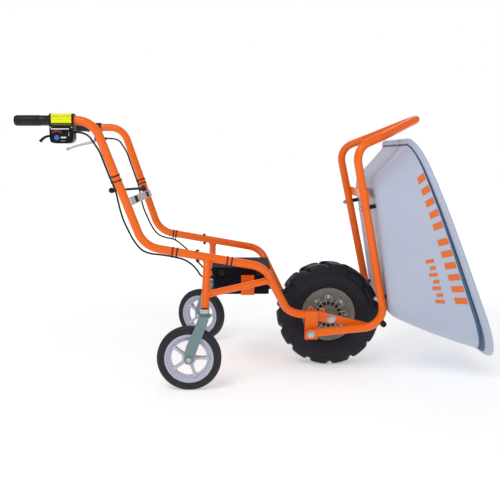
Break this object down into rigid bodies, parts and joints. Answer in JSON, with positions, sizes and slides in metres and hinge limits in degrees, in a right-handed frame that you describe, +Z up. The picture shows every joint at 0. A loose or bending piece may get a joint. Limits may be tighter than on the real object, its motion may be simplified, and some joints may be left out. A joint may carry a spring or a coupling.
{
  "type": "power wheelbarrow",
  "caption": "Electric wheelbarrow with a bent-tube frame, hub-motor drive wheel, swivel casters and a tub that tips forwards on its own hinged frame, drawn tipped.",
  "frame": {"origin": "on the ground, straight under the middle of the drive axle", "axes": "+X forwards, +Y to the machine's left, +Z up; the tub is tipped forwards at rest"},
  "size_m": [1.5181, 0.7464, 0.8676],
  "materials": {
    "orange_frame": "gloss orange powder coat",
    "pale_bar": "satin pale grey-pink paint",
    "black_rubber": "matt",
    "black_case": "fine moulded texture",
    "cell_wrap": "heat-shrink film",
    "bare_aluminium": "satin, die cast",
    "zinc_steel": "zinc plated",
    "black_plastic": "satin moulded",
    "grip_rubber": "ribbed, matt",
    "yellow_cover": "gloss",
    "panel_gloss": "gloss",
    "blue_button": "gloss",
    "black_steel": "satin black",
    "cable_sheath": "satin",
    "copper_windings": "enamelled",
    "cast_hub": "as cast",
    "drive_tyre": "block tread",
    "fork_zinc": "zinc plated",
    "caster_rim": "satin",
    "caster_tyre": "smooth",
    "tub_plastic": "satin polyethylene"
  },
  "bodies": {
    "chassis": {"side_tube_right": "orange_frame", "side_tube_left": "orange_frame", "caster_leg_right": "orange_frame", "caster_leg_left": "orange_frame", "side_brace_right": "orange_frame", "side_brace_left": "orange_frame", "axle_bracket_right": "orange_frame", "axle_bracket_left": "orange_frame", "handle_crossbar": "pale_bar", "rest_pads": "black_rubber", "battery_cradle": "orange_frame", "battery_case": "black_case", "battery_lid": "black_case", "battery_pack": "cell_wrap", "motor_controller": "bare_aluminium", "charge_socket": "zinc_steel", "cable_glands": "black_plastic", "grip_right": "grip_rubber", "grip_left": "grip_rubber", "control_pod": "black_plastic", "pod_sleeve": "yellow_cover", "control_panel": "panel_gloss", "brake_perch": "black_plastic", "latch_bracket": "black_steel", "cable_ties": "black_plastic", "control_cable": "cable_sheath", "brake_cable": "cable_sheath", "motor_cable": "cable_sheath", "axle_shaft": "zinc_steel", "motor_stator": "copper_windings", "axle_nuts": "zinc_steel", "frame_bolts": "black_steel", "pivot_bolts": "zinc_steel", "caster_sockets": "zinc_steel"},
    "drive_wheel": {"hub_shell": "cast_hub", "hub_covers": "cast_hub", "hub_bolts": "zinc_steel", "drive_tyre": "drive_tyre", "tyre_valve": "black_rubber"},
    "caster_fork_right": {"caster_fork_right": "fork_zinc", "caster_axle_right": "zinc_steel"},
    "caster_wheel_right": {"caster_rim_right": "caster_rim", "caster_tyre_right": "caster_tyre"},
    "caster_fork_left": {"caster_fork_left": "fork_zinc", "caster_axle_left": "zinc_steel"},
    "caster_wheel_left": {"caster_rim_left": "caster_rim", "caster_tyre_left": "caster_tyre"},
    "tub": {"tub_frame_right": "orange_frame", "tub_frame_left": "orange_frame", "tub_bow": "orange_frame", "tub_strap": "orange_frame", "tub_stubs": "black_rubber", "tub_shell": "tub_plastic", "tub_spacers": "black_rubber", "tub_bolts": "zinc_steel"},
    "throttle": {"throttle_lever": "black_plastic"},
    "brake": {"brake_lever": "bare_aluminium"},
    "latch": {"latch_lever": "black_steel", "latch_knob": "black_plastic"},
    "button": {"power_button": "blue_button"}
  },
  "joints": [
    {"name": "drive_wheel_spin", "type": "hinge", "parent": "chassis", "child": "drive_wheel", "pos_m": [0, 0, 0.18], "axis": [0, 1, 0], "continuous": true},
    {"name": "caster_swivel_right", "type": "hinge", "parent": "chassis", "child": "caster_fork_right", "pos_m": [-0.42, -0.316, 0.249], "axis": [0, 0, 1], "continuous": true},
    {"name": "caster_spin_right", "type": "hinge", "parent": "caster_fork_right", "child": "caster_wheel_right", "pos_m": [-0.47, -0.316, 0.1015], "axis": [0, 1, 0], "continuous": true},
    {"name": "caster_swivel_left", "type": "hinge", "parent": "chassis", "child": "caster_fork_left", "pos_m": [-0.42, 0.316, 0.249], "axis": [0, 0, 1], "continuous": true},
    {"name": "caster_spin_left", "type": "hinge", "parent": "caster_fork_left", "child": "caster_wheel_left", "pos_m": [-0.46415, 0.33947, 0.1015], "axis": [0.4695, 0.8829, 0], "continuous": true},
    {"name": "tub_tip", "type": "hinge", "parent": "chassis", "child": "tub", "pos_m": [-0.073, 0, 0.139], "axis": [0, -1, 0], "range_deg": [0, 72]},
    {"name": "throttle_press", "type": "hinge", "parent": "chassis", "child": "throttle", "pos_m": [-0.862, -0.294, 0.789], "axis": [0, -1, 0], "range_deg": [0, 22], "stiffness_Nm_per_rad": 0.2, "springref_deg": -20.05},
    {"name": "brake_pull", "type": "hinge", "parent": "chassis", "child": "brake", "pos_m": [-0.852, 0.3, 0.796], "axis": [0, 1, 0], "range_deg": [0, 20], "stiffness_Nm_per_rad": 0.8, "springref_deg": -11.46},
    {"name": "latch_turn", "type": "hinge", "parent": "chassis", "child": "latch", "pos_m": [-0.674, 0.232, 0.606], "axis": [0, 0, 1], "range_deg": [0, 25]},
    {"name": "button_press", "type": "slide", "parent": "chassis", "child": "button", "axis": [0, 1, 0], "range_m": [0, 0.002], "stiffness_N_per_m": 300, "springref_m": -0.001}
  ]
}
